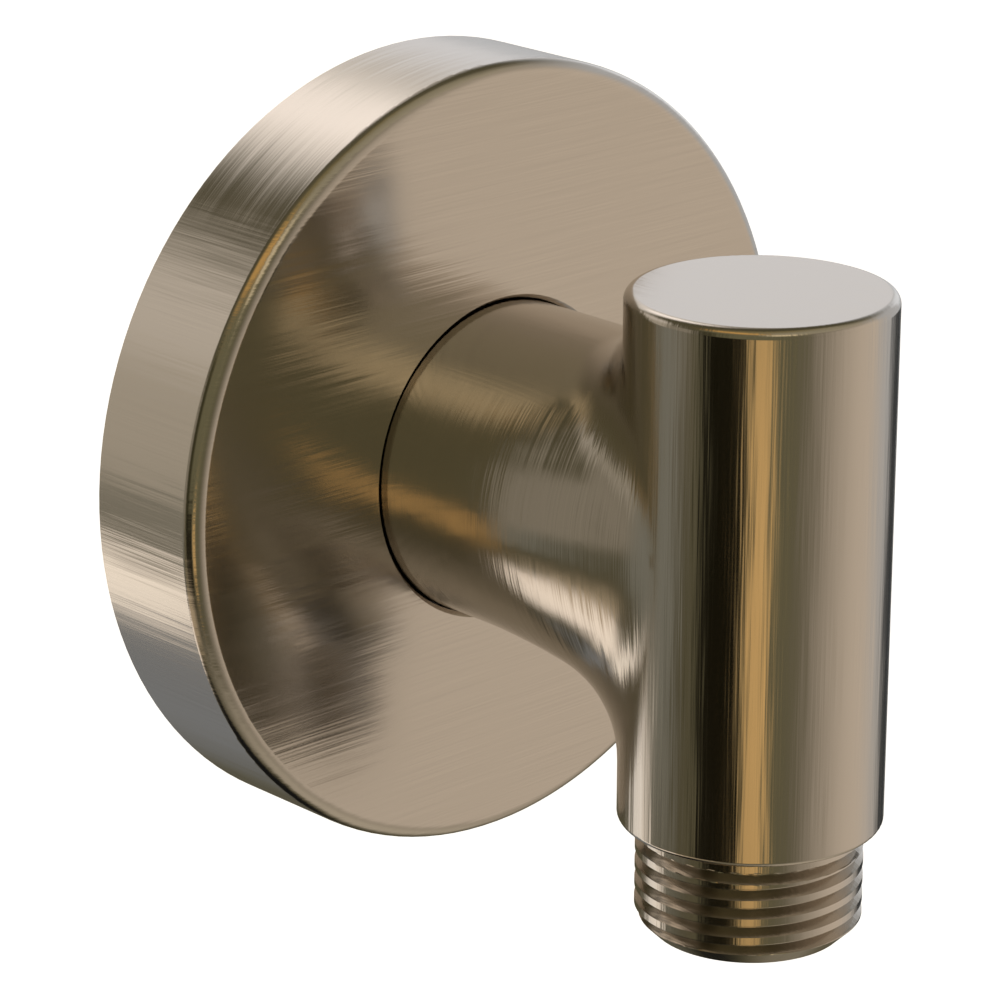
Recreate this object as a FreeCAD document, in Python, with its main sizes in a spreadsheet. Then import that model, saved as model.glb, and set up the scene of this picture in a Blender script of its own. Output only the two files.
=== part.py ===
"""Wall outlet elbow with a round wall flange, as a parametric document.

The origin is the centre of the flange's back face, on the wall plane.
+Y goes into the wall, -Y is the front, +Z is up, and the outlet points
to -Z. All sizes are in millimetres and stand in the sheet named Sizes.
"""
import FreeCAD, Part
import math
import os

import Sketcher
from FreeCAD import Placement, Rotation, Vector

# Name, value and meaning of every driving size.
SIZES = [
    ("flange_diameter", 76.0, "wall flange, outer diameter"),
    ("flange_depth", 13.3, "wall plane to the flange's front face"),
    ("flange_round", 1.6, "round on the flange's front edge"),
    ("flange_face", 2.2, "thickness of the flange's front plate"),
    ("flange_rim", 3.2, "thickness of the flange's rim"),
    ("flange_gap", 0.15, "radial gap between the flange's hole and the neck"),
    ("seam_chamfer", 0.4, "chamfer on the front of the flange's hole"),
    ("hub_wall", 4.4, "wall of the flange's inner hub"),
    ("hub_land", 2.0, "hub's back end to the groove of its O-ring"),
    ("inner_round", 1.2, "round inside the flange, between rim and plate"),
    ("flange_ring_section", 2.0, "section of the O-ring in the hub"),
    ("flange_ring_depth", 5.6, "flange's front face to the middle of that O-ring"),
    ("ring_groove_play", 0.2, "axial play of an O-ring in its groove, each side"),
    ("seal_width", 1.5, "width of the wall seal"),
    ("seal_depth", 1.2, "depth of the wall seal"),
    ("seal_edge", 0.8, "land between the wall seal and the rim's outside"),
    ("seat_clearance", 0.03, "clearance between a seal or guide and its groove"),
    ("neck_diameter", 30.4, "horizontal neck, outer diameter"),
    ("neck_proud", 1.5, "how far the neck reaches past the hub's back end"),
    ("neck_land", 0.7, "flange's front face to the start of the shaped neck"),
    ("neck_droop_start", 5.2, "flange's front face to where the neck droops"),
    ("neck_taper_start", 8.7, "flange's front face to where the neck narrows"),
    ("neck_tuck", 0.9, "how far the narrowed neck ends inside the barrel"),
    ("neck_droop", 8.5, "how far the underside droops at the barrel's axis"),
    ("reach", 46.4, "wall plane to the outlet's axis"),
    ("shoulder_width", 1.7225, "barrel's lower shoulder, width beside the thread"),
    ("upper_land", 1.8, "straight wall between the upper blend and the top"),
    ("lower_land", 1.2, "straight wall between the lower blend and the shoulder"),
    ("barrel_round", 0.9, "round on the barrel's top edge"),
    ("shoulder_edge", 0.5, "round on the barrel's lower edge"),
    ("blend_top", 6.5, "blend radius above the neck"),
    ("blend_side", 16.0, "blend radius beside the neck"),
    ("blend_bottom", 10.0, "blend radius below the neck"),
    ("thread_diameter", 20.955, "G 1/2 thread, major diameter"),
    ("thread_lead_in", 1.5, "chamfer at the tip of each thread"),
    ("outlet_thread", 10.7, "length of the outlet thread"),
    ("inlet_thread", 18.0, "neck's shoulder to the tip of the inlet thread"),
    ("relief_depth", 1.28, "undercut behind the inlet thread, depth"),
    ("relief_width", 1.8, "undercut behind the inlet thread, width"),
    ("waterway", 12.0, "diameter of both drilled waterways"),
    ("drill_angle", 118.0, "point angle of the vertical drilling"),
    ("bore_chamfer", 0.4, "chamfer on the mouths of the bores"),
    ("pocket_ledge", 1.6, "ledge between the waterway and the valve's bore"),
    ("valve_length", 16.0, "length of the valve's housing"),
    ("valve_recess", 0.6, "outlet end face to the housing's lower end"),
    ("valve_clearance", 0.1, "radial clearance of the housing in its bore"),
    ("valve_ring_section", 1.5, "section of the O-ring round the housing"),
    ("valve_ring_depth", 2.6, "housing's upper end to that O-ring's middle"),
    ("housing_wall", 1.2, "wall of the housing round its chamber"),
    ("housing_chamfer", 0.5, "lead-in chamfer on the housing"),
    ("seat_width", 2.0, "width of the conical seat"),
    ("seat_start", 3.8, "housing's upper end to the start of the seat"),
    ("seat_height", 1.6, "height of the conical seat"),
    ("guide_ledge", 0.4, "ledge between the chamber and the guide"),
    ("guide_height", 2.0, "height of the guide's ring"),
    ("guide_ring", 1.2, "width of the guide's ring"),
    ("guide_hub_wall", 0.75, "wall of the guide's hub"),
    ("guide_hub_height", 6.0, "height of the guide's hub"),
    ("guide_rib", 1.1, "width of the ribs between the guide's windows"),
    ("stem_diameter", 2.4, "poppet stem"),
    ("stem_clearance", 0.08, "radial running clearance of the stem"),
    ("stem_engagement", 2.8, "length of the stem inside the hub, closed"),
    ("head_overlap", 1.0, "how far the poppet's head reaches under the seat"),
    ("head_height", 1.2, "height of the poppet's head"),
    ("poppet_ring_section", 1.0, "section of the ring on the poppet"),
    ("ring_inset", 0.9, "seat's opening to the bottom of the ring's groove"),
    ("seat_gap", 0.1, "gap between the poppet's ring and its seat, closed"),
    ("nose_clearance", 0.6, "radial clearance of the nose in the opening"),
    ("nose_land", 0.5, "straight part of the nose"),
    ("nose_height", 1.3, "height of the nose's cone"),
    ("nose_slope", 2.2, "width of the nose's cone"),
    ("spring_wire", 0.5, "wire of the valve spring"),
    ("spring_gap", 0.45, "radial gap between the guide's hub and the spring"),
    ("spring_turns", 5.0, "turns of the valve spring"),
]

# Name, formula and meaning of every size that follows from others.
DERIVED = [
    ("hole_radius", "neck_diameter / 2 + flange_gap", "flange's hole"),
    ("hub_radius", "hole_radius + hub_wall", "outside of the flange's hub"),
    ("rim_radius", "flange_diameter / 2 - flange_rim", "inside of the rim"),
    ("plate_level", "flange_depth - flange_face", "back of the front plate"),
    ("ring_offset", "flange_depth - flange_ring_depth",
     "wall plane to the middle of the hub's O-ring"),
    ("ring_half", "flange_ring_section / 2 + ring_groove_play",
     "half the width of that O-ring's groove"),
    ("hub_start", "ring_offset - ring_half - hub_land",
     "wall plane to the hub's back end"),
    ("neck_shoulder", "hub_start - neck_proud",
     "wall plane to the neck's back shoulder"),
    ("seal_outer", "flange_diameter / 2 - seal_edge", "outside of the seal's groove"),
    ("seal_inner", "seal_outer - seal_width", "inside of the seal's groove"),
    ("barrel_radius", "thread_diameter / 2 + shoulder_width",
     "vertical barrel, radius"),
    ("barrel_above", "neck_diameter / 2 + blend_top + upper_land",
     "neck's axis to the barrel's top face"),
    ("barrel_below", "neck_diameter / 2 + blend_bottom + lower_land",
     "neck's axis to the barrel's lower shoulder"),
    ("thread_radius", "thread_diameter / 2", "thread, major radius"),
    ("tip_radius", "thread_radius - thread_lead_in", "end faces, outer radius"),
    ("pocket_radius", "waterway / 2 + pocket_ledge", "bore that holds the valve"),
    ("pocket_depth", "valve_length + valve_recess", "depth of that bore"),
    ("housing_radius", "pocket_radius - valve_clearance", "outside of the housing"),
    ("chamber_radius", "housing_radius - housing_wall", "inside of the housing"),
    ("opening_radius", "chamber_radius - seat_width", "opening above the seat"),
    ("guide_radius", "chamber_radius + guide_ledge", "counterbore for the guide"),
    ("guide_rim", "guide_radius - seat_clearance", "outside of the guide"),
    ("guide_bore", "stem_diameter / 2 + stem_clearance", "bore of the guide's hub"),
    ("guide_hub", "guide_bore + guide_hub_wall", "outside of the guide's hub"),
    ("seat_level", "valve_length - seat_start", "start of the seat, from below"),
    ("seat_slant", "sqrt(seat_width ^ 2 + seat_height ^ 2)",
     "length of the conical seat along its slope"),
    ("core_radius", "opening_radius - ring_inset", "poppet inside its ring"),
    ("ring_radius", "core_radius + poppet_ring_section / 2 + seat_clearance",
     "middle of the poppet's ring"),
    ("ring_drop", "( ( poppet_ring_section / 2 + seat_gap ) * seat_slant "
     "+ ( ring_radius - opening_radius ) * seat_height ) / seat_width",
     "start of the seat to the middle of the poppet's ring, closed"),
    ("ring_level", "seat_level - ring_drop",
     "housing's lower end to the middle of the poppet's ring, closed"),
    ("waist_level", "ring_level - poppet_ring_section / 2 - seat_clearance",
     "housing's lower end to the top of the poppet's head, closed"),
    ("head_level", "waist_level - head_height",
     "housing's lower end to the head's underside, closed"),
    ("nose_level", "ring_level + poppet_ring_section / 2 + seat_clearance",
     "housing's lower end to the start of the poppet's nose, closed"),
    ("nose_radius", "opening_radius - nose_clearance", "widest part of the nose"),
    ("stem_level", "guide_hub_height - stem_engagement",
     "housing's lower end to the stem's end, closed"),
]

WINDOWS = 4
SLOPE_SECTIONS = 6
TAPER_POWER = 1.7
DROOP_POWER = 2.0

doc = FreeCAD.newDocument("WallOutletElbow")
sheet = doc.addObject("Spreadsheet::Sheet", "Sizes")


def fill_sheet():
    """Writes one row per size: name, value with its alias, meaning."""
    rows = [(name, str(value), meaning) for name, value, meaning in SIZES]
    rows += [(name, "=" + formula, meaning) for name, formula, meaning in DERIVED]
    for row, (name, content, meaning) in enumerate(rows, start=1):
        sheet.set("A%d" % row, name)
        sheet.set("B%d" % row, content)
        sheet.setAlias("B%d" % row, name)
        sheet.set("C%d" % row, meaning)
    doc.recompute()


def size(name):
    """The value of one size, read from the sheet."""
    return float(sheet.get(name))


def expr(text):
    """Puts the sheet's name before every size named in an expression."""
    words = []
    for word in text.replace("(", " ( ").replace(")", " ) ").split():
        words.append("Sizes." + word if word in NAMES else word)
    return " ".join(words).replace("tan (", "tan(")


def bind(obj, **properties):
    """Binds properties of an object to expressions of the sheet."""
    for name, text in properties.items():
        obj.setExpression(name.replace("__", "."), expr(text))


def origin_plane(body, role):
    """An origin plane of a body, found by its role."""
    for feature in body.Origin.OriginFeatures:
        if feature.Role == role:
            return feature
    raise RuntimeError("no plane " + role)


def new_sketch(body, name, role="XZ_Plane"):
    """A sketch on one of the body's own origin planes."""
    sketch = body.newObject("Sketcher::SketchObject", name)
    sketch.AttachmentSupport = [(origin_plane(body, role), "")]
    sketch.MapMode = "FlatFace"
    return sketch


def pin_point(sketch, line, end, across, along):
    """Fixes one end of a line at a place that the sheet gives."""
    for kind, text in (("DistanceX", across), ("DistanceY", along)):
        if text == "0":
            other = -2 if kind == "DistanceX" else -1
            sketch.addConstraint(Sketcher.Constraint("PointOnObject", line, end, other))
            continue
        start = evaluate(text)
        number = sketch.addConstraint(
            Sketcher.Constraint(kind, -1, 1, line, end, start))
        sketch.setExpression("Constraints[%d]" % number, expr(text))


def evaluate(text):
    """The present value of an expression of sizes."""
    holder.setExpression("Length", expr(text) + " + 1000")
    holder.recompute()
    return float(holder.Length) - 1000.0


def profile(sketch, corners):
    """A closed profile of straight lines through corners (across, along)."""
    places = [Vector(evaluate(a), evaluate(b), 0) for a, b in corners]
    count = len(places)
    for i in range(count):
        sketch.addGeometry(Part.LineSegment(places[i], places[(i + 1) % count]))
    for i in range(count):
        sketch.addConstraint(
            Sketcher.Constraint("Coincident", i, 2, (i + 1) % count, 1))
    for i, (across, along) in enumerate(corners):
        pin_point(sketch, i, 1, across, along)


def turned_body(label, corners):
    """A body turned from a profile: across is the radius, along the axis."""
    body = doc.addObject("PartDesign::Body", label)
    sketch = new_sketch(body, label + "_profile")
    profile(sketch, corners)
    turn = body.newObject("PartDesign::Revolution", label + "_turn")
    turn.Profile = sketch
    turn.ReferenceAxis = (sketch, ["V_Axis"])
    turn.Angle = 360
    sketch.Visibility = False
    doc.recompute()
    return body


def place(obj, rotation, x="0", y="0", z="0"):
    """Turns an object and sets its position from the sheet."""
    obj.Placement = Placement(Vector(0, 0, 0), rotation)
    for axis, text in (("x", x), ("y", y), ("z", z)):
        if text != "0":
            obj.setExpression("Placement.Base." + axis, "( %s ) * 1 mm" % expr(text))
    doc.recompute()


def circle_edge(shape, radius, level):
    """The name of the circle of a radius about Z at a level."""
    for number, edge in enumerate(shape.Edges, start=1):
        curve = edge.Curve
        if not isinstance(curve, Part.Circle):
            continue
        if abs(curve.Radius - radius) + abs(curve.Center.z - level) < 1e-3:
            return "Edge%d" % number
    raise RuntimeError("no circle of radius %.3f" % radius)


def round_circle(body, label, radius, where, level):
    """Rounds one circular edge of a turned body."""
    before = body.Tip
    edge = circle_edge(before.Shape, evaluate(where), evaluate(level))
    fillet = body.newObject("PartDesign::Fillet", label)
    fillet.Base = (before, [edge])
    fillet.setExpression("Radius", expr(radius))
    body.Tip = fillet
    doc.recompute()


def join(kind, label, base, tool):
    """A boolean of two objects."""
    result = doc.addObject(kind, label)
    result.Base = base
    result.Tool = tool
    doc.recompute()
    return result


def cylinder(label, radius, length, rotation, x="0", y="0", z="0"):
    """A cylinder along its own Z, then turned and placed."""
    made = doc.addObject("Part::Cylinder", label)
    bind(made, Radius=radius, Height=length)
    place(made, rotation, x, y, z)
    return made


# Rotations from an object's own Z to the directions of the frame.
UP = Rotation()
TO_FRONT = Rotation(Vector(1, 0, 0), 90)
TO_WALL = Rotation(Vector(1, 0, 0), -90)


def conic(half_width, half_height, distance):
    """A circle or an ellipse across the neck's axis."""
    centre = Vector(0, -distance, 0)
    side = Vector(half_width, -distance, 0)
    top = Vector(0, -distance, half_height)
    if abs(half_width - half_height) < 1e-6:
        return Part.Circle(centre, Vector(0, 1, 0), half_width)
    if half_width < half_height:
        return Part.Ellipse(top, side, centre)
    return Part.Ellipse(side, top, centre)


def quarter(curve, start, end):
    """The shorter arc of a closed curve between two of its points."""
    turn = curve.LastParameter - curve.FirstParameter
    low, high = sorted((curve.parameter(start), curve.parameter(end)))
    if high - low > turn / 2:
        low, high = high, low + turn
    return Part.Edge(curve, low, high)


def neck_section(half_width, above, below, distance):
    """One closed section of the neck, its lower half deeper than its upper."""
    upper = conic(half_width, above, distance)
    lower = conic(half_width, below, distance)
    top = Vector(0, -distance, above)
    bottom = Vector(0, -distance, -below)
    left = Vector(-half_width, -distance, 0)
    right = Vector(half_width, -distance, 0)
    arcs = [quarter(upper, top, right), quarter(lower, right, bottom),
            quarter(lower, bottom, left), quarter(upper, left, top)]
    return Part.Wire(Part.__sortEdges__(arcs))


def slope_share(distance, start, power):
    """How far along a slope of the neck a section lies, from 0 to 1."""
    begin = size("flange_depth") + size(start)
    share = (distance - begin) / (size("reach") - begin)
    return max(0.0, share) ** power


def make_neck_slope():
    """The neck from the flange's front to the barrel's axis, as a loft.

    It narrows so that it ends inside the barrel, and its underside droops.
    """
    radius = size("neck_diameter") / 2
    end_width = size("barrel_radius") - size("neck_tuck")
    begin = size("flange_depth") + size("neck_land")
    first = size("flange_depth") + size("neck_droop_start")
    step = (size("reach") - first) / (SLOPE_SECTIONS - 1)
    distances = [begin] + [first + step * i for i in range(SLOPE_SECTIONS)]
    sections = []
    for distance in distances:
        taper = slope_share(distance, "neck_taper_start", TAPER_POWER)
        droop = slope_share(distance, "neck_droop_start", DROOP_POWER)
        half_width = radius - (radius - end_width) * taper
        below = radius + size("neck_droop") * droop
        sections.append(neck_section(half_width, radius, below, distance))
    slope = doc.addObject("Part::Feature", "neck_slope")
    slope.Shape = Part.makeLoft(sections, True, False)
    return slope


def blend_radius(point):
    """The blend's radius above, below and beside the neck."""
    third = size("neck_diameter") / 6
    if point.z > third:
        return size("blend_top")
    if point.z < -third:
        return size("blend_bottom")
    return size("blend_side")


def blend_edges(shape):
    """The edges where the neck meets the barrel, each with its two radii."""
    radius = size("barrel_radius")
    chosen = []
    for number, edge in enumerate(shape.Edges, start=1):
        ends = (edge.valueAt(edge.FirstParameter), edge.valueAt(edge.LastParameter))
        on_barrel = [abs(math.hypot(p.x, p.y + size("reach")) - radius) < 0.02
                     for p in ends]
        between = [size("shoulder_edge") < p.z + size("barrel_below")
                   and p.z < size("barrel_above") - size("barrel_round")
                   for p in ends]
        apart = (ends[0] - ends[1]).Length > radius / 4
        rising = abs(ends[0].y - ends[1].y) > radius / 40
        if all(on_barrel) and all(between) and apart and rising:
            chosen.append((number, blend_radius(ends[0]), blend_radius(ends[1])))
    return chosen


def make_barrel():
    """The vertical barrel with the stub of the outlet thread below it."""
    height = "outlet_thread + barrel_below + barrel_above"
    barrel = turned_body("barrel_turning", [
        ("0", "0"),
        ("tip_radius", "0"),
        ("thread_radius", "thread_lead_in"),
        ("thread_radius", "outlet_thread"),
        ("barrel_radius", "outlet_thread"),
        ("barrel_radius", height),
        ("0", height),
    ])
    round_circle(barrel, "top_round", "barrel_round", "barrel_radius", height)
    round_circle(barrel, "shoulder_round", "shoulder_edge", "barrel_radius",
                 "outlet_thread")
    place(barrel, Rotation(Vector(0, 0, 1), -90), y="- reach",
          z="- barrel_below - outlet_thread")
    return barrel


def make_blended_form():
    """Barrel and neck as one form, with the blend between them."""
    straight = cylinder("neck_back", "neck_diameter / 2",
                        "flange_depth + neck_land - neck_shoulder",
                        TO_FRONT, y="- neck_shoulder")
    neck = join("Part::Fuse", "neck", straight, make_neck_slope())
    rough = join("Part::Fuse", "neck_and_barrel", make_barrel(), neck)
    blend = doc.addObject("Part::Fillet", "blended_form")
    blend.Base = rough
    blend.Edges = blend_edges(rough.Shape)
    doc.recompute()
    return blend


def make_inlet_spigot():
    """The stub of the inlet thread behind the neck, with its undercut."""
    undercut = "thread_radius - relief_depth"
    spigot = turned_body("inlet_spigot", [
        ("0", "0"),
        ("tip_radius", "0"),
        ("thread_radius", "thread_lead_in"),
        ("thread_radius", "inlet_thread - relief_width"),
        (undercut, "inlet_thread - relief_width"),
        (undercut, "inlet_thread"),
        ("0", "inlet_thread"),
    ])
    place(spigot, TO_FRONT, y="inlet_thread - neck_shoulder")
    return spigot


def make_inlet_bore():
    """The waterway from the inlet's end face to the barrel's axis."""
    length = "reach + inlet_thread - neck_shoulder"
    bore = turned_body("inlet_bore", [
        ("0", "0"),
        ("waterway / 2 + bore_chamfer", "0"),
        ("waterway / 2", "bore_chamfer"),
        ("waterway / 2", length),
        ("0", length),
    ])
    place(bore, TO_FRONT, y="inlet_thread - neck_shoulder")
    return bore


def make_outlet_bore():
    """The bore for the valve and the waterway above it, up to the bend."""
    top = "outlet_thread + barrel_below + waterway / 2"
    bore = turned_body("outlet_bore", [
        ("0", "0"),
        ("pocket_radius + bore_chamfer", "0"),
        ("pocket_radius", "bore_chamfer"),
        ("pocket_radius", "pocket_depth"),
        ("waterway / 2", "pocket_depth"),
        ("waterway / 2", top),
        ("0", top + " + waterway / 2 / tan ( drill_angle / 2 * 1 deg )"),
    ])
    place(bore, UP, y="- reach", z="- barrel_below - outlet_thread")
    return bore


def make_elbow_body():
    """The body in one piece: neck, barrel, both threads, waterways."""
    solid = join("Part::Fuse", "elbow_solid", make_blended_form(),
                 make_inlet_spigot())
    drilled = join("Part::Cut", "drilled_body", solid, make_inlet_bore())
    return join("Part::Cut", "elbow_body", drilled, make_outlet_bore())


def flange_corners():
    """Profile of the flange: radius, distance from the wall."""
    groove = "neck_diameter / 2 + flange_ring_section + seat_clearance"
    return [
        ("flange_diameter / 2", "0"),
        ("flange_diameter / 2", "flange_depth"),
        ("hole_radius + seam_chamfer", "flange_depth"),
        ("hole_radius", "flange_depth - seam_chamfer"),
        ("hole_radius", "ring_offset + ring_half"),
        (groove, "ring_offset + ring_half"),
        (groove, "ring_offset - ring_half"),
        ("hole_radius", "ring_offset - ring_half"),
        ("hole_radius", "hub_start"),
        ("hub_radius", "hub_start"),
        ("hub_radius", "plate_level"),
        ("rim_radius", "plate_level"),
        ("rim_radius", "0"),
        ("seal_inner", "0"),
        ("seal_inner", "seal_depth"),
        ("seal_outer", "seal_depth"),
        ("seal_outer", "0"),
    ]


def make_wall_flange():
    """The turned flange, hollow at the back, with a hub round the neck."""
    body = turned_body("wall_flange", flange_corners())
    round_circle(body, "front_round", "flange_round", "flange_diameter / 2",
                 "flange_depth")
    round_circle(body, "hollow_round", "inner_round", "rim_radius", "plate_level")
    place(body, TO_FRONT)
    return body


def ring(label, centre_radius, section, rotation, **where):
    """An O-ring."""
    torus = doc.addObject("Part::Torus", label)
    bind(torus, Radius1=centre_radius, Radius2="( %s ) / 2" % section)
    place(torus, rotation, **where)
    return torus


def make_wall_seal():
    """The flat rubber ring in the groove of the flange's rim."""
    seal = turned_body("wall_seal", [
        ("seal_inner + seat_clearance", "0"),
        ("seal_outer - seat_clearance", "0"),
        ("seal_outer - seat_clearance", "seal_depth - seat_clearance"),
        ("seal_inner + seat_clearance", "seal_depth - seat_clearance"),
    ])
    place(seal, TO_FRONT)
    return seal


# The valve's pieces are drawn upwards from the housing's lower end.
VALVE_Z = "- barrel_below - outlet_thread + valve_recess"


def make_valve_housing():
    """The housing: O-ring groove outside, opening, seat and chamber inside."""
    groove = "pocket_radius - valve_ring_section - seat_clearance"
    middle = "valve_length - valve_ring_depth"
    half = "( valve_ring_section / 2 + ring_groove_play )"
    housing = turned_body("valve_housing", [
        ("guide_radius", "0"),
        ("housing_radius", "0"),
        ("housing_radius", middle + " - " + half),
        (groove, middle + " - " + half),
        (groove, middle + " + " + half),
        ("housing_radius", middle + " + " + half),
        ("housing_radius", "valve_length - housing_chamfer"),
        ("housing_radius - housing_chamfer", "valve_length"),
        ("opening_radius", "valve_length"),
        ("opening_radius", "seat_level"),
        ("chamber_radius", "seat_level - seat_height"),
        ("chamber_radius", "guide_height"),
        ("guide_radius", "guide_height"),
    ])
    place(housing, UP, y="- reach", z=VALVE_Z)
    return housing


def make_valve_guide():
    """The guide: a ring with windows and a hub that guides the stem."""
    guide = turned_body("valve_guide", [
        ("guide_bore", "0"),
        ("guide_rim", "0"),
        ("guide_rim", "guide_height"),
        ("guide_hub", "guide_height"),
        ("guide_hub", "guide_hub_height"),
        ("guide_bore", "guide_hub_height"),
    ])
    add_windows(guide, size("guide_hub"), size("guide_rim") - size("guide_ring"))
    place(guide, UP, y="- reach", z=VALVE_Z)
    return guide


def add_windows(body, low, high):
    """Cuts evenly spaced windows through the guide, with ribs between."""
    half_rib = size("guide_rib") / 2
    sector = math.pi / WINDOWS
    corners = []
    for radius, sign in ((low, -1), (high, -1), (high, 1), (low, 1)):
        angle = sign * (sector - math.asin(half_rib / radius))
        corners.append(Vector(radius * math.cos(angle), radius * math.sin(angle), 0))
    sketch = new_sketch(body, "window", "XY_Plane")
    middle_out = Vector(high, 0, 0)
    middle_in = Vector(low, 0, 0)
    sketch.addGeometry(Part.LineSegment(corners[0], corners[1]))
    sketch.addGeometry(Part.Arc(corners[1], middle_out, corners[2]))
    sketch.addGeometry(Part.LineSegment(corners[2], corners[3]))
    sketch.addGeometry(Part.Arc(corners[3], middle_in, corners[0]))
    doc.recompute()
    whole = body.Shape.Volume
    pocket = body.newObject("PartDesign::Pocket", "window_cut")
    pocket.Profile = sketch
    pocket.Type = "ThroughAll"
    doc.recompute()
    if body.Shape.Volume > whole - 1e-3:
        pocket.Reversed = True
        doc.recompute()
    pattern = body.newObject("PartDesign::PolarPattern", "windows")
    pattern.Originals = [pocket]
    pattern.Axis = (sketch, ["N_Axis"])
    pattern.Angle = 360
    pattern.Occurrences = WINDOWS
    body.Tip = pattern
    sketch.Visibility = False
    doc.recompute()


def make_valve_poppet():
    """The poppet: stem, head, waist for its ring, and nose."""
    shoulder = "nose_level + nose_land"
    poppet = turned_body("valve_poppet", [
        ("0", "stem_level"),
        ("stem_diameter / 2", "stem_level"),
        ("stem_diameter / 2", "head_level"),
        ("opening_radius + head_overlap", "head_level"),
        ("opening_radius + head_overlap", "waist_level"),
        ("core_radius", "waist_level"),
        ("core_radius", "nose_level"),
        ("nose_radius", "nose_level"),
        ("nose_radius", shoulder),
        ("nose_radius - nose_slope", shoulder + " + nose_height"),
        ("0", shoulder + " + nose_height"),
    ])
    place(poppet, UP, y="- reach", z=VALVE_Z)
    return poppet


def make_valve_spring():
    """The coil spring between the guide's ring and the poppet's head."""
    wire = size("spring_wire")
    coil = size("guide_hub") + size("spring_gap") + wire / 2
    low = size("guide_height") + wire / 2 + size("seat_clearance")
    high = size("head_level") - wire / 2 - size("seat_clearance")
    helix = Part.makeHelix((high - low) / size("spring_turns"), high - low, coil)
    helix.translate(Vector(0, 0, low))
    path = Part.Wire(helix.Edges)
    first = path.Edges[0]
    start = first.valueAt(first.FirstParameter)
    along = first.tangentAt(first.FirstParameter)
    section = Part.Wire([Part.Edge(Part.Circle(start, along, wire / 2))])
    spring = doc.addObject("Part::Feature", "valve_spring")
    spring.Shape = path.makePipeShell([section], True, False)
    place(spring, UP, y="- reach", z=VALVE_Z)
    return spring


def build_parts():
    """Every sub-part, in the order in which it would be put together."""
    return [
        make_elbow_body(),
        make_wall_flange(),
        ring("flange_o_ring",
             "( neck_diameter + flange_ring_section + seat_clearance ) / 2",
             "flange_ring_section - seat_clearance", TO_FRONT, y="- ring_offset"),
        make_wall_seal(),
        make_valve_housing(),
        ring("valve_o_ring",
             "pocket_radius - ( valve_ring_section + seat_clearance ) / 2",
             "valve_ring_section - seat_clearance", UP, y="- reach",
             z=VALVE_Z + " + valve_length - valve_ring_depth"),
        make_valve_guide(),
        make_valve_poppet(),
        ring("poppet_ring", "ring_radius", "poppet_ring_section", UP,
             y="- reach", z=VALVE_Z + " + ring_level"),
        make_valve_spring(),
    ]


def check(parts):
    """Stops when an object failed or a sub-part's shape isn't sound."""
    doc.recompute()
    for obj in doc.Objects:
        if "Invalid" in obj.State or "Error" in obj.State:
            raise RuntimeError("%s is %s" % (obj.Label, obj.State))
    for part in parts:
        shape = part.Shape
        if shape.isNull() or not shape.isValid() or len(shape.Solids) != 1:
            raise RuntimeError("%s has no sound solid" % part.Label)


def export(parts):
    """Writes one STEP file per sub-part, named by its label."""
    os.makedirs("parts", exist_ok=True)
    for part in parts:
        part.Shape.exportStep("parts/%s.step" % part.Label)
        box = part.Shape.BoundBox
        print("%-16s volume %9.2f  x %.2f %.2f  y %.2f %.2f  z %.2f %.2f" % (
            part.Label, part.Shape.Volume, box.XMin, box.XMax,
            box.YMin, box.YMax, box.ZMin, box.ZMax))


NAMES = {row[0] for row in SIZES + DERIVED}
fill_sheet()
holder = doc.addObject("Part::Box", "measure")
sub_parts = build_parts()
doc.removeObject("measure")
check(sub_parts)
export(sub_parts)
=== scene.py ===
"""The looks of a wall outlet elbow in brushed warm nickel.

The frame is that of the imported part: origin at the centre of the flange's
back face, +Y into the wall, -Y to the front, +Z up. Lengths are in metres,
and the constants below that end in _MM are in millimetres.
"""

import math

import bmesh
import bpy
import numpy as np
from mathutils import Matrix, Vector


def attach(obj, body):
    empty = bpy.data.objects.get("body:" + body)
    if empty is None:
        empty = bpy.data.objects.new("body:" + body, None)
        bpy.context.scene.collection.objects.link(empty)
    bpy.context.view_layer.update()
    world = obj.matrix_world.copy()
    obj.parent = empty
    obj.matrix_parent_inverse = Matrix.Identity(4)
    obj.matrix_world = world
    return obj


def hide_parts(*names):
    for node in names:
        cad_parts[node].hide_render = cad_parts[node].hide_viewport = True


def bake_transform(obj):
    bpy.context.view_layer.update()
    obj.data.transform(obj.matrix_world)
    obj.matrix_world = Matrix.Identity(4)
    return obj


MM = 0.001

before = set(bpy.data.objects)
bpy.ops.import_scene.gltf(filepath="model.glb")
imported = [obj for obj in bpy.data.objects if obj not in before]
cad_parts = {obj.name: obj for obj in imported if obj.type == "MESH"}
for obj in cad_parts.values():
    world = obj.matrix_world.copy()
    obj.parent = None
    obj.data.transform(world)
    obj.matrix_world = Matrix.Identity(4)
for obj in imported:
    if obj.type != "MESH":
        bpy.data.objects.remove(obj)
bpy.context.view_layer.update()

# The object's main sizes, as in the part.
FLANGE_RADIUS_MM = 38.0
FLANGE_DEPTH_MM = 13.3
FLANGE_ROUND_MM = 1.6
NECK_RADIUS_MM = 15.2
NECK_TAPER_START_MM = 22.0
REACH_MM = 46.4
BARREL_RADIUS_MM = 12.2
BARREL_TOP_MM = 23.5
BARREL_ROUND_MM = 0.9
SHOULDER_MM = -26.4
SHOULDER_EDGE_MM = 0.5
TIP_MM = -37.1
POCKET_MOUTH_MM = 8.0
INLET_MOUTH_MM = 6.4
INLET_TIP_MM = 15.0
INLET_START_MM = -1.2

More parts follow.
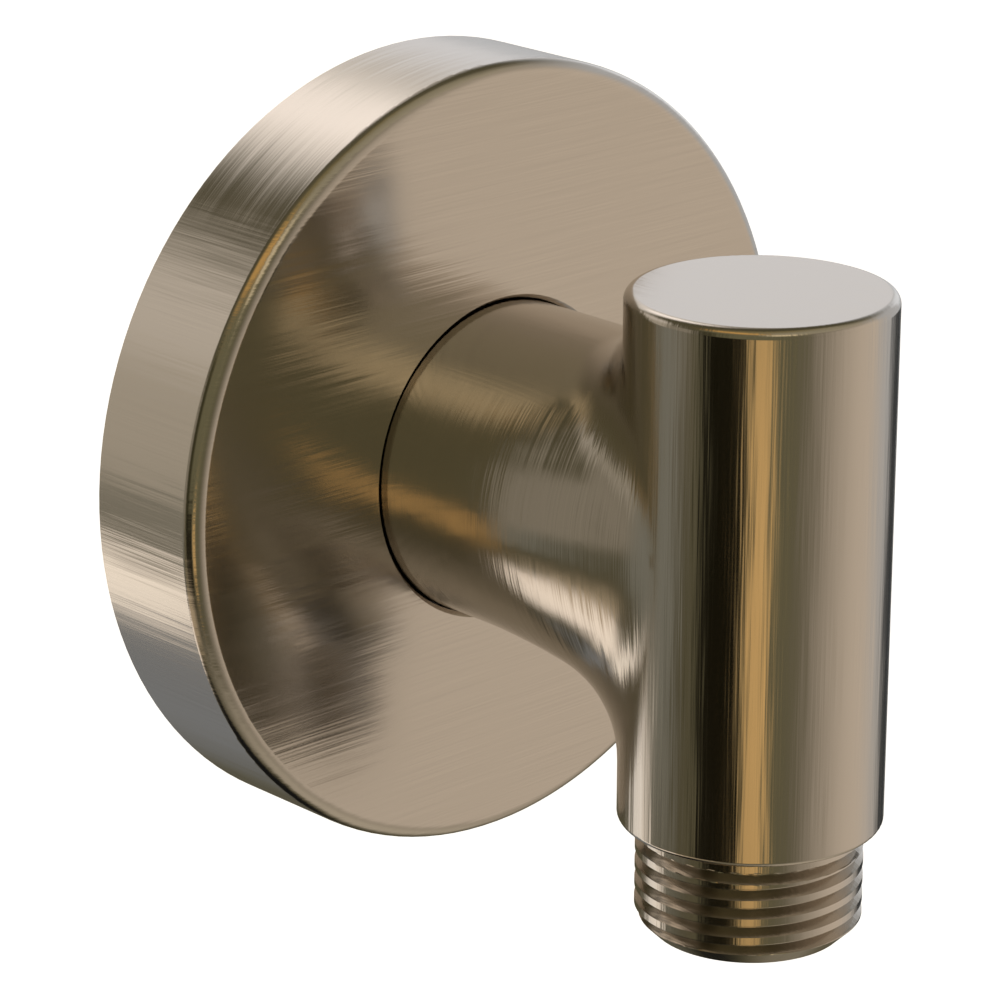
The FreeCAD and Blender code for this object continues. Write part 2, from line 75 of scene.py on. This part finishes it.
# The G 1/2 thread.
THREAD_RADIUS_MM = 10.4775
THREAD_PITCH_MM = 1.814
THREAD_DEPTH_MM = 1.16
THREAD_LEAD_IN_MM = 1.5
TIP_RADIUS_MM = THREAD_RADIUS_MM - THREAD_LEAD_IN_MM
RELIEF_RADIUS_MM = THREAD_RADIUS_MM - 1.28
CREST_SHARE = 0.2
ROOT_SHARE = 0.035
OUTLET_LEAD_TURNS = 0.48
RING_GROOVE_MM = 1.83
ROWS_PER_TURN = 32
COLUMNS = 216

# How near points count as one, or as lying on a circle or level, in metres.
WELD = 2e-6
SLIVER = 1e-6
ON_LEVEL = 2e-5
ON_RADIUS = 8e-5
PAST_RADIUS = 3e-5


# ---------------------------------------------------------------- node helpers

class Tree:
    """Short calls for adding and linking the nodes of one shader."""

    def __init__(self, owner):
        owner.use_nodes = True
        self.tree = owner.node_tree
        self.tree.nodes.clear()

    def node(self, kind, **settings):
        made = self.tree.nodes.new(kind)
        for name, value in settings.items():
            setattr(made, name, value)
        return made

    def feed(self, socket, value):
        """Links a socket, or sets it where the value is a plain one."""
        if isinstance(value, bpy.types.NodeSocket):
            self.tree.links.new(value, socket)
        else:
            socket.default_value = value

    def math(self, operation, *values):
        made = self.node("ShaderNodeMath", operation=operation)
        for socket, value in zip(made.inputs, values):
            self.feed(socket, value)
        return made.outputs[0]

    def vector(self, operation, *values):
        made = self.node("ShaderNodeVectorMath", operation=operation)
        for socket, value in zip(made.inputs, values):
            self.feed(socket, value)
        scalar = operation in ("DOT_PRODUCT", "LENGTH")
        return made.outputs["Value" if scalar else "Vector"]

    def scaled(self, vector, factor):
        made = self.node("ShaderNodeVectorMath", operation="SCALE")
        self.feed(made.inputs[0], vector)
        self.feed(made.inputs["Scale"], factor)
        return made.outputs["Vector"]

    def ramp(self, value, low, high, start=0.0, end=1.0, soft=True):
        made = self.node("ShaderNodeMapRange",
                         interpolation_type="SMOOTHSTEP" if soft else "LINEAR")
        names = ("Value", "From Min", "From Max", "To Min", "To Max")
        for name, item in zip(names, (value, low, high, start, end)):
            self.feed(made.inputs[name], item)
        return made.outputs["Result"]

    def mix(self, share, first, second):
        """A mix of two colours."""
        made = self.node("ShaderNodeMix", data_type="RGBA")
        self.feed(made.inputs[0], share)
        self.feed(made.inputs[6], first)
        self.feed(made.inputs[7], second)
        return made.outputs[2]

    def mix_vectors(self, share, first, second):
        made = self.node("ShaderNodeMix", data_type="VECTOR")
        self.feed(made.inputs[0], share)
        self.feed(made.inputs[4], first)
        self.feed(made.inputs[5], second)
        return made.outputs[1]

    def parts(self, vector):
        made = self.node("ShaderNodeSeparateXYZ")
        self.feed(made.inputs[0], vector)
        return made.outputs

    def joined(self, x, y, z):
        made = self.node("ShaderNodeCombineXYZ")
        for socket, value in zip(made.inputs, (x, y, z)):
            self.feed(socket, value)
        return made.outputs[0]

    def noise(self, place, scale, detail=2.0, roughness=0.5):
        """Noise as a signed value about zero."""
        made = self.node("ShaderNodeTexNoise", noise_dimensions="3D")
        self.feed(made.inputs["Vector"], place)
        self.feed(made.inputs["Scale"], scale)
        self.feed(made.inputs["Detail"], detail)
        self.feed(made.inputs["Roughness"], roughness)
        return self.math("SUBTRACT", made.outputs[0], 0.5)


def new_material(name):
    material = bpy.data.materials.new(name)
    return material, Tree(material)


# ---------------------------------------------------------------- materials

METAL_DARK = (0.560, 0.518, 0.467, 1.0)
METAL_LIGHT = (0.640, 0.592, 0.533, 1.0)
AXES = ((1.0, 0.0, 0.0), (0.0, 1.0, 0.0), (0.0, 0.0, 1.0))
X, Y, Z = range(3)
FINE_LINE = 0.00013
BROAD_LINE = 0.0007
LINE_STRETCH = 120.0
LINE_SHADE = 0.1
SIDE_BLEND = 0.08
TOP_BLEND = (0.66, 0.76)
GRAIN = 0.0004
GRAIN_SHADES = (0.86, 1.08)
GRAIN_HEIGHT = 0.00005


def box_shares(nodes, normal):
    """How far a surface faces along X, against Y, and along Z, from 0 to 1."""
    size = nodes.parts(nodes.vector("ABSOLUTE", normal))
    against = nodes.math("SUBTRACT", size[X], size[Y])
    return nodes.ramp(against, -SIDE_BLEND, SIDE_BLEND), nodes.ramp(size[Z], *TOP_BLEND)


def line_value(nodes, place, facing, along, broad_share):
    """Noise drawn out into brush lines on the surfaces that face one axis.

    along is the axis of the lines, and broad_share the weight of the broad
    lines against the fine ones.
    """
    across = place[3 - facing - along]
    drawn = nodes.math("DIVIDE", place[along], LINE_STRETCH)
    spot = nodes.joined(across, drawn, 0.0)
    fine = nodes.noise(spot, 1.0 / FINE_LINE, detail=1.5, roughness=0.6)
    broad = nodes.noise(spot, 1.0 / BROAD_LINE, detail=0.0)
    return nodes.math("MULTIPLY_ADD", broad, broad_share, fine)


def brushed_metal(name, along, tilts, broad_share, roughness, anisotropy):
    """Brushed plating: fine lines in the normals and stretched highlights.

    along gives the axis of the brush lines for surfaces that face X, Y and
    Z, and tilts how far the lines turn the surface there.
    """
    material, nodes = new_material(name)
    place = nodes.parts(nodes.node("ShaderNodeTexCoord").outputs["Object"])
    normal = nodes.node("ShaderNodeNewGeometry").outputs["Normal"]
    x_share, z_share = box_shares(nodes, normal)
    values = []
    for facing in (X, Y, Z):
        lines = line_value(nodes, place, facing, along[facing], broad_share)
        values.append(nodes.math("MULTIPLY", lines, tilts[facing]))
    sides = nodes.ramp(x_share, 0.0, 1.0, values[Y], values[X], soft=False)
    value = nodes.ramp(z_share, 0.0, 1.0, sides, values[Z], soft=False)
    brush = nodes.mix_vectors(x_share, AXES[along[Y]], AXES[along[X]])
    brush = nodes.mix_vectors(z_share, brush, AXES[along[Z]])
    across = nodes.vector("NORMALIZE", nodes.vector("CROSS_PRODUCT", normal, brush))
    tilted = nodes.vector("ADD", normal, nodes.scaled(across, value))
    shader = nodes.node("ShaderNodeBsdfPrincipled")
    shade = nodes.ramp(value, -LINE_SHADE, LINE_SHADE, soft=False)
    nodes.feed(shader.inputs["Base Color"], nodes.mix(shade, METAL_DARK, METAL_LIGHT))
    shader.inputs["Metallic"].default_value = 1.0
    shader.inputs["Roughness"].default_value = roughness
    shader.inputs["Anisotropic"].default_value = anisotropy
    nodes.feed(shader.inputs["Normal"], nodes.vector("NORMALIZE", tilted))
    nodes.feed(shader.inputs["Tangent"], across)
    output = nodes.node("ShaderNodeOutputMaterial")
    nodes.feed(output.inputs["Surface"], shader.outputs[0])
    return material


def plain_surface(name, colour, roughness, metallic=0.0, bump=0.0):
    """A moulded or drawn surface with a fine grain in colour and height."""
    material, nodes = new_material(name)
    place = nodes.node("ShaderNodeTexCoord").outputs["Object"]
    cloud = nodes.noise(place, 1.0 / GRAIN, detail=3.0)
    shade = nodes.ramp(cloud, -0.3, 0.3, soft=False)
    dark, light = (tuple(min(1.0, share * part) for part in colour) + (1.0,)
                   for share in GRAIN_SHADES)
    bumper = nodes.node("ShaderNodeBump")
    nodes.feed(bumper.inputs["Height"], cloud)
    bumper.inputs["Strength"].default_value = bump
    bumper.inputs["Distance"].default_value = GRAIN_HEIGHT
    shader = nodes.node("ShaderNodeBsdfPrincipled")
    nodes.feed(shader.inputs["Base Color"], nodes.mix(shade, dark, light))
    shader.inputs["Roughness"].default_value = roughness
    shader.inputs["Metallic"].default_value = metallic
    nodes.feed(shader.inputs["Normal"], bumper.outputs[0])
    output = nodes.node("ShaderNodeOutputMaterial")
    nodes.feed(output.inputs["Surface"], shader.outputs[0])
    return material


body_metal = brushed_metal("brushed_body", along=(Z, Z, Y), tilts=(0.30, 0.26, 0.15),
                           broad_share=0.14, roughness=0.17, anisotropy=0.55)
flange_metal = brushed_metal("brushed_flange", along=(Y, X, X), tilts=(0.22, 0.26, 0.22),
                             broad_share=0.30, roughness=0.18, anisotropy=0.6)
rubber = plain_surface("black_rubber", (0.022, 0.022, 0.023), 0.55, bump=0.25)
grey_plastic = plain_surface("grey_plastic", (0.50, 0.52, 0.54), 0.38, bump=0.15)
white_plastic = plain_surface("white_plastic", (0.83, 0.83, 0.80), 0.35, bump=0.15)
steel = plain_surface("spring_steel", (0.60, 0.59, 0.57), 0.24, metallic=1.0, bump=0.2)


def dress(obj, material):
    """Gives the whole piece one material."""
    obj.data.materials.clear()
    obj.data.materials.append(material)


# ---------------------------------------------------------------- thread

def groove_depth(offset):
    """Depth of a groove, as a share, at an offset in turns from its middle."""
    edge = 0.5 - CREST_SHARE
    slope = (edge - np.abs(offset)) / (edge - ROOT_SHARE)
    return np.clip(slope, 0.0, 1.0)


def thread_radius(turn, along, length, lead_turn, ring_at):
    """Radius of the thread's surface.

    turn is the angle in turns, along the distance from the shoulder in
    millimetres. The groove's middle lies where along / pitch - turn equals
    lead_turn plus a whole number. ring_at is the middle of a groove that
    runs straight round below the shoulder, or None.
    """
    phase = along / THREAD_PITCH_MM - turn - lead_turn
    nearest = np.round(phase)
    offset = phase - nearest
    depth = groove_depth(offset)
    if ring_at is not None:
        middle = (nearest + turn + lead_turn) * THREAD_PITCH_MM
        depth = np.where(middle < ring_at, 0.0, depth)
        depth = np.maximum(depth, groove_depth((along - ring_at) / THREAD_PITCH_MM))
    radius = THREAD_RADIUS_MM - THREAD_DEPTH_MM * depth
    tip = TIP_RADIUS_MM + np.maximum(0.0, length - along)
    return np.minimum(radius, tip)


def add_thread(mesh, place, length, lead_turn=0.0, ring_at=None):
    """Adds a thread's surface to a bmesh. place turns local points, where the
    axis is Z and points from the shoulder to the tip, into the frame."""
    turns = np.arange(COLUMNS + 1) / COLUMNS
    steps = int(math.ceil((length / THREAD_PITCH_MM + 1.0) * ROWS_PER_TURN))
    rows = []
    for step in range(steps + 1):
        phase = step / ROWS_PER_TURN - 1.0
        along = np.clip((phase + turns) * THREAD_PITCH_MM, 0.0, length)
        radius = thread_radius(turns, along, length, lead_turn, ring_at)
        angle = 2.0 * math.pi * turns
        points = np.stack([radius * np.cos(angle), radius * np.sin(angle), along], 1)
        rows.append([mesh.verts.new(place @ Vector(point * MM)) for point in points])
    faces = []
    for lower, upper in zip(rows, rows[1:]):
        for i in range(COLUMNS):
            faces.append(mesh.faces.new((lower[i], lower[i + 1], upper[i + 1], upper[i])))
    return faces


def open_rings(mesh, axis_point, axis, radius, level):
    """Boundary edges on a circle of a radius at a level along an axis."""
    found = []
    for edge in mesh.edges:
        if not edge.is_boundary:
            continue
        inside = True
        for vert in edge.verts:
            offset = vert.co - axis_point
            height = offset.dot(axis)
            spread = (offset - axis * height).length
            inside = (inside and abs(height - level) < ON_LEVEL
                      and abs(spread - radius) < ON_RADIUS)
        if inside:
            found.append(edge)
    return found


def cut_stub(mesh, axis_point, axis, start, inner):
    """Deletes the plain stub of a thread, which is every face past a level
    along the axis and outside a radius."""
    doomed = []
    for face in mesh.faces:
        keep = False
        for vert in face.verts:
            offset = vert.co - axis_point
            height = offset.dot(axis)
            spread = (offset - axis * height).length
            if height < start - WELD or spread < inner - PAST_RADIUS:
                keep = True
                break
        if not keep:
            doomed.append(face)
    bmesh.ops.delete(mesh, geom=doomed, context="FACES")


# ---------------------------------------------------------------- body

BARREL_AXIS = Vector((0.0, -REACH_MM * MM, 0.0))
BARREL_ROUNDS = ((BARREL_ROUND_MM, BARREL_TOP_MM), (-SHOULDER_EDGE_MM, SHOULDER_MM))
FLAT_LEVELS_Z = (BARREL_TOP_MM, SHOULDER_MM, TIP_MM)
FLAT_LEVELS_Y = (INLET_START_MM, INLET_TIP_MM)
FLAT = 0.9999
NEAR_FLAT_MM = 0.003
NEAR_ROUND_MM = 0.001
NEAR_WALL_MM = 0.02
NEAR_NECK_MM = 0.01
SAME_SIDE = 0.85
SHARP_CORNER = math.radians(28.0)
SHARP_WIRE = math.radians(60.0)


def body_normal(point, face_normal):
    """The exact normal on the barrel, its flat ends and the neck's straight
    part, or None elsewhere."""
    x, y, z = point.x / MM, point.y / MM, point.z / MM
    out_x, out_y = x, y + REACH_MM
    radius = math.hypot(out_x, out_y)
    for axis, value, levels in ((Z, z, FLAT_LEVELS_Z), (Y, y, FLAT_LEVELS_Y)):
        near = min(abs(value - level) for level in levels) < NEAR_FLAT_MM
        if near and abs(face_normal[axis]) > FLAT:
            return Vector(AXES[axis]) * math.copysign(1.0, face_normal[axis])
    for turn, level in BARREL_ROUNDS:
        centre = BARREL_RADIUS_MM - abs(turn)
        rise = z - (level - turn)
        if radius > centre - NEAR_ROUND_MM and rise * turn > -NEAR_ROUND_MM:
            share = max(radius - centre, 0.0) / radius
            return Vector((out_x * share, out_y * share, rise)).normalized()
    if abs(radius - BARREL_RADIUS_MM) < NEAR_WALL_MM and SHOULDER_MM < z < BARREL_TOP_MM:
        return Vector((out_x / radius, out_y / radius, 0.0))
    spread = math.hypot(x, z)
    if abs(spread - NECK_RADIUS_MM) < NEAR_NECK_MM and y > -NECK_TAPER_START_MM:
        return Vector((x / spread, 0.0, z / spread))
    return None


def soften(obj, rule=None, sharp=SHARP_CORNER):
    """Smooth shading with sharp corners, and exact normals where the rule
    knows them from a point and the normal of its face."""
    data = obj.data
    data.polygons.foreach_set("use_smooth", [True] * len(data.polygons))
    data.set_sharp_from_angle(angle=sharp)
    if rule is None:
        return
    normals = [Vector(item.vector) for item in data.corner_normals]
    for face in data.polygons:
        for number in face.loop_indices:
            point = data.vertices[data.loops[number].vertex_index].co
            exact = rule(point, face.normal)
            if exact is not None and exact.dot(face.normal) > SAME_SIDE:
                normals[number] = exact
    data.normals_split_custom_set(normals)


def copy_of(node):
    """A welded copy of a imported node's mesh, as a bmesh."""
    mesh = bmesh.new()
    mesh.from_mesh(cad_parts[node].data)
    bmesh.ops.remove_doubles(mesh, verts=mesh.verts, dist=WELD)
    return mesh


def object_from(mesh, name, material):
    """An object with a bmesh's shape, without the normals that came with the
    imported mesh, because those don't hold once it is welded."""
    data = bpy.data.meshes.new(name)
    mesh.to_mesh(data)
    mesh.free()
    old_normals = data.attributes.get("custom_normal")
    if old_normals is not None:
        data.attributes.remove(old_normals)
    obj = bpy.data.objects.new(name, data)
    bpy.context.scene.collection.objects.link(obj)
    dress(obj, material)
    return obj


def axis_frame(origin, along):
    """A right-handed frame whose Z is along, at an origin."""
    side = Vector(AXES[X])
    turn = Matrix((side, along.cross(side), along)).transposed().to_4x4()
    return Matrix.Translation(origin) @ turn


def make_body():
    """The body with real helical threads in place of the plain stubs."""
    mesh = copy_of("elbow_body")
    down = Vector((0.0, 0.0, -1.0))
    back = Vector((0.0, 1.0, 0.0))
    outlet_length = SHOULDER_MM - TIP_MM
    inlet_length = INLET_TIP_MM - INLET_START_MM
    cut_stub(mesh, BARREL_AXIS, down, -SHOULDER_MM * MM, POCKET_MOUTH_MM * MM)
    cut_stub(mesh, Vector(), back, INLET_START_MM * MM, INLET_MOUTH_MM * MM)
    shoulder_ring = BARREL_RADIUS_MM - SHOULDER_EDGE_MM
    outlet_place = axis_frame(BARREL_AXIS + down * (-SHOULDER_MM * MM), down)
    inlet_place = axis_frame(back * (INLET_START_MM * MM), back)
    add_thread(mesh, outlet_place, outlet_length, lead_turn=OUTLET_LEAD_TURNS,
               ring_at=RING_GROOVE_MM)
    add_thread(mesh, inlet_place, inlet_length)
    bmesh.ops.remove_doubles(mesh, verts=mesh.verts, dist=WELD)
    bmesh.ops.dissolve_degenerate(mesh, edges=mesh.edges, dist=SLIVER)
    seams = (
        (BARREL_AXIS, down, -SHOULDER_MM, shoulder_ring),
        (BARREL_AXIS, down, -TIP_MM, POCKET_MOUTH_MM),
        (Vector(), back, INLET_START_MM, RELIEF_RADIUS_MM),
        (Vector(), back, INLET_TIP_MM, INLET_MOUTH_MM),
    )
    for point, axis, level, radius in seams:
        body_ring = open_rings(mesh, point, axis, radius * MM, level * MM)
        thread_ring = [edge for edge in mesh.edges
                       if edge.is_boundary and edge not in body_ring
                       and all(abs((vert.co - point).dot(axis) - level * MM) < ON_LEVEL
                               for vert in edge.verts)]
        bmesh.ops.bridge_loops(mesh, edges=body_ring + thread_ring)
    bmesh.ops.recalc_face_normals(mesh, faces=mesh.faces)
    body = object_from(mesh, "body_with_threads", body_metal)
    soften(body, body_normal)
    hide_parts("elbow_body")
    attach(body, "outlet")


def flange_normal(point, _face_normal):
    """The exact normal on the flange's face, rim and front round, or None."""
    x, y, z = point.x / MM, point.y / MM, point.z / MM
    spread = math.hypot(x, z)
    if abs(y + FLANGE_DEPTH_MM) < NEAR_FLAT_MM:
        return Vector((0.0, -1.0, 0.0))
    out = Vector((x / spread, 0.0, z / spread))
    if abs(spread - FLANGE_RADIUS_MM) < NEAR_WALL_MM:
        return out
    centre = FLANGE_RADIUS_MM - FLANGE_ROUND_MM
    rise = -y - (FLANGE_DEPTH_MM - FLANGE_ROUND_MM)
    if spread > centre and rise > 0.0:
        return (out * (spread - centre) - Vector((0.0, rise, 0.0))).normalized()
    return None


def make_flange():
    flange = object_from(copy_of("wall_flange"), "flange_brushed", flange_metal)
    soften(flange, flange_normal)
    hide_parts("wall_flange")
    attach(flange, "outlet")


# ---------------------------------------------------------------- other pieces

def make_spring():
    """A smooth-shaded copy of the spring, in place of the imported one."""
    spring = object_from(copy_of("valve_spring"), "spring_coil", steel)
    soften(spring, sharp=SHARP_WIRE)
    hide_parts("valve_spring")
    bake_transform(spring)


make_body()
make_flange()
make_spring()

DRESSED = {
    "flange_o_ring": rubber,
    "wall_seal": rubber,
    "valve_o_ring": rubber,
    "poppet_ring": rubber,
    "valve_housing": grey_plastic,
    "valve_guide": white_plastic,
    "valve_poppet": white_plastic,
}
for node_name, node_material in DRESSED.items():
    dress(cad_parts[node_name], node_material)


# ---------------------------------------------------------------- studio

# Azimuth is 0 to the front and +90 to +X, elevation is above the horizon,
# both in degrees. A card fades in between the first two numbers of each
# span and out between the last two.
AMBIENT = (0.10, 0.088, 0.05)
ROUND = (-180.0, 180.0)
UP = (-90.0, 90.0)
REGION = 45.0
FLOOR_SIZE = 40.0
FLOOR_LEVEL = -0.7
CARDS = [
    # name, azimuth span, elevation span, colour
    ("zenith", (-140, -60, 50, 92), (50, 64, 76, 90), (0.25, 0.205, 0.10)),
    ("ceiling", (-56, -22, 56, 98), (28, 42, 56, 78), (0.37, 0.33, 0.23)),
    ("floor_glow", (-130, 42, 78, 140), (-86, -72, -60, -30), (0.56, 0.49, 0.385)),
    ("low_black", (128, 150, 245, 262), (-101, -100, -58, -46), (0.01, 0.01, 0.01)),
    ("right_wall", (-30, 54, 66, 112), (-60, -26, 14, 54), (0.72, 0.62, 0.51)),
    ("cool_wall", (52, 84, 128, 150), (-36, -10, 22, 46), (0.59, 0.605, 0.625)),
    ("back_light", (110, 122, 150, 164), (-12, 0, 24, 38), (0.61, 0.62, 0.64)),
    ("top_light", (122, 130, 146, 156), (4, 10, 24, 32), (0.89, 0.89, 0.92)),
    ("edge_white", (98, 107, 118, 128), (-5, 3, 16, 24), (0.96, 1.0, 1.06)),
    ("back_glow", (124, 154, 174, 194), (14, 30, 42, 66), (0.94, 0.88, 0.81)),
    ("key_light", (140, 157, 163, 183), (30, 39, 48, 72), (1.56, 1.45, 1.38)),
    ("left_window", (-168, -154, -138, -118), (-20, -8, 22, 34), (0.53, 0.475, 0.39)),
    ("left_high", (-178, -162, -142, -130), (8, 18, 25, 41), (0.72, 0.655, 0.57)),
    ("olive_front", (-112, -92, -40, 8), (-36, -20, 36, 46), (0.18, 0.165, 0.095)),
    ("front_warm", (-46, -35, -24, -8), (25, 32, 40, 51), (0.85, 0.71, 0.46)),
    ("amber_high", (-112, -84, -54, -36), (36, 48, 53, 66), (0.735, 0.435, 0.14)),
    ("left_shade", (-146, -136, -126, -107), (-27, -21, -16, -9), (0.245, 0.24, 0.20)),
    ("left_soft", (-130, -119, -108, -97), (-20, -12, 12, 24), (0.31, 0.275, 0.215)),
    ("dark_left", (-106, -96, -90, -74), (-18, -8, 22, 34), (0.047, 0.042, 0.02)),
    ("back_low", (140, 176, 200, 212), (-52, -46, -36, -26), (0.25, 0.26, 0.27)),
    ("strip_back", (-162, -156, -149, -139), (-38, -32, -26, -19), (1.60, 1.45, 1.28)),
    ("strip_left", (-152, -145, -126, -108), (-49, -43, -36, -31), (1.38, 1.22, 1.06)),
    ("strip_front", (-130, -116, -96, -62), (-46, -41, -35, -26), (0.62, 0.49, 0.33)),
    ("black_flag", (-102, -91, -61, -54), (-34, -28, -14, -8), (0.006, 0.005, 0.002)),
    ("amber_card", (-58, -49, -40, -32), (-28, -24, -17, -13), (0.91, 0.58, 0.23)),
    ("edge_light", (-176, -163, -157, -151), (-29, -25, -17, -10), (1.20, 1.12, 1.03)),
    ("right_flag", (86, 99, 116, 124), (-36, -28, -16, -10), (0.037, 0.04, 0.042)),
]


def card_edges(value, span, region):
    """The fading edges of a card that a region meets, or None where the card
    stays outside it. Each is a value with its ends of no light and full."""
    if span[0] >= region[1] or span[3] <= region[0]:
        return None
    edges = []
    if region[0] < span[1]:
        edges.append((value, span[0], span[1]))
    if region[1] > span[2]:
        edges.append((value, span[3], span[2]))
    return edges


def region_colour(nodes, azimuth, elevation, around, above):
    """The studio's colour in a region, from the cards that reach into it."""
    colour = AMBIENT + (1.0,)
    for _, card_around, card_above, card in CARDS:
        for turn in (-360.0, 0.0, 360.0):
            turned = [number + turn for number in card_around]
            beside = card_edges(azimuth, turned, around)
            level = card_edges(elevation, card_above, above)
            if beside is None or level is None:
                continue
            share = 1.0
            for edge in beside + level:
                share = nodes.math("MULTIPLY", share, nodes.ramp(*edge))
            colour = nodes.mix(share, colour, card + (1.0,))
    return colour


def studio_light(nodes, azimuth, elevation, around, above):
    """The light of the studio within a span of azimuth and of elevation.

    It is cut in two until it is small. A mix whose share is 0 or 1 works out
    one side only, so a ray pays for the few cards near its own direction.
    """
    value, region = (azimuth, around) if around[1] - around[0] > REGION else (elevation, above)
    if region[1] - region[0] <= REGION:
        light = nodes.node("ShaderNodeBackground")
        nodes.feed(light.inputs["Color"],
                   region_colour(nodes, azimuth, elevation, around, above))
        return light.outputs[0]
    middle = (region[0] + region[1]) / 2.0
    chooser = nodes.node("ShaderNodeMixShader")
    nodes.feed(chooser.inputs[0], nodes.math("GREATER_THAN", value, middle))
    halves = ((region[0], middle), (middle, region[1]))
    for socket, half in zip(chooser.inputs[1:], halves):
        spans = (half, above) if region is around else (around, half)
        nodes.feed(socket, studio_light(nodes, azimuth, elevation, *spans))
    return chooser.outputs[0]


def make_world():
    """White for the camera, and studio cards for everything that reflects."""
    world = bpy.data.worlds.new("studio")
    bpy.context.scene.world = world
    nodes = Tree(world)
    x, y, z = nodes.parts(nodes.node("ShaderNodeTexCoord").outputs["Generated"])
    front = nodes.math("MULTIPLY", y, -1.0)
    azimuth = nodes.math("DEGREES", nodes.math("ARCTAN2", x, front))
    elevation = nodes.math("DEGREES", nodes.math("ARCSINE", z))
    backdrop = nodes.node("ShaderNodeBackground")
    backdrop.inputs["Color"].default_value = (1.0, 1.0, 1.0, 1.0)
    chooser = nodes.node("ShaderNodeMixShader")
    nodes.feed(chooser.inputs[0], nodes.node("ShaderNodeLightPath").outputs["Is Camera Ray"])
    nodes.feed(chooser.inputs[1], studio_light(nodes, azimuth, elevation, ROUND, UP))
    nodes.feed(chooser.inputs[2], backdrop.outputs[0])
    output = nodes.node("ShaderNodeOutputWorld")
    nodes.feed(output.inputs["Surface"], chooser.outputs[0])


def make_floor():
    """A plain pale floor, far enough below to leave no shadow in the picture."""
    bpy.ops.mesh.primitive_plane_add(size=FLOOR_SIZE, location=(0.0, 0.0, FLOOR_LEVEL))
    floor = bpy.context.object
    floor.name = "floor"
    material, nodes = new_material("pale_floor")
    shader = nodes.node("ShaderNodeBsdfPrincipled")
    shader.inputs["Base Color"].default_value = (0.9, 0.9, 0.9, 1.0)
    shader.inputs["Roughness"].default_value = 0.9
    shader.inputs["Emission Color"].default_value = (1.0, 1.0, 1.0, 1.0)
    shader.inputs["Emission Strength"].default_value = 0.85
    output = nodes.node("ShaderNodeOutputMaterial")
    nodes.feed(output.inputs["Surface"], shader.outputs[0])
    dress(floor, material)
    floor.visible_glossy = False
    floor.visible_diffuse = False


# ---------------------------------------------------------------- camera

CAMERA_PLACE_MM = (-265.9139, -295.1515, 129.3582)
CAMERA_AZIMUTH = -43.2966
CAMERA_ELEVATION = 19.0372
CAMERA_ROLL = 0.21157
FOCAL_PIXELS = 4310.487
IMAGE_PIXELS = 1000.0
SENSOR = 36.0


def make_camera():
    azimuth, elevation = math.radians(CAMERA_AZIMUTH), math.radians(CAMERA_ELEVATION)
    back = Vector((math.sin(azimuth) * math.cos(elevation),
                   -math.cos(azimuth) * math.cos(elevation), math.sin(elevation)))
    right = (-back).cross(Vector((0.0, 0.0, 1.0))).normalized()
    up = right.cross(-back)
    level = Matrix((right, up, back)).transposed()
    data = bpy.data.cameras.new("camera")
    data.sensor_width = SENSOR
    data.lens = FOCAL_PIXELS / IMAGE_PIXELS * SENSOR
    data.clip_start = 0.02
    data.clip_end = 100.0
    camera = bpy.data.objects.new("camera", data)
    bpy.context.scene.collection.objects.link(camera)
    turned = level @ Matrix.Rotation(math.radians(CAMERA_ROLL), 3, "Z")
    camera.matrix_world = (Matrix.Translation(Vector(CAMERA_PLACE_MM) * MM)
                           @ turned.to_4x4())
    bpy.context.scene.camera = camera


make_world()
make_floor()
make_camera()
bpy.context.scene.view_settings.view_transform = "Standard"

bpy.context.view_layer.update()
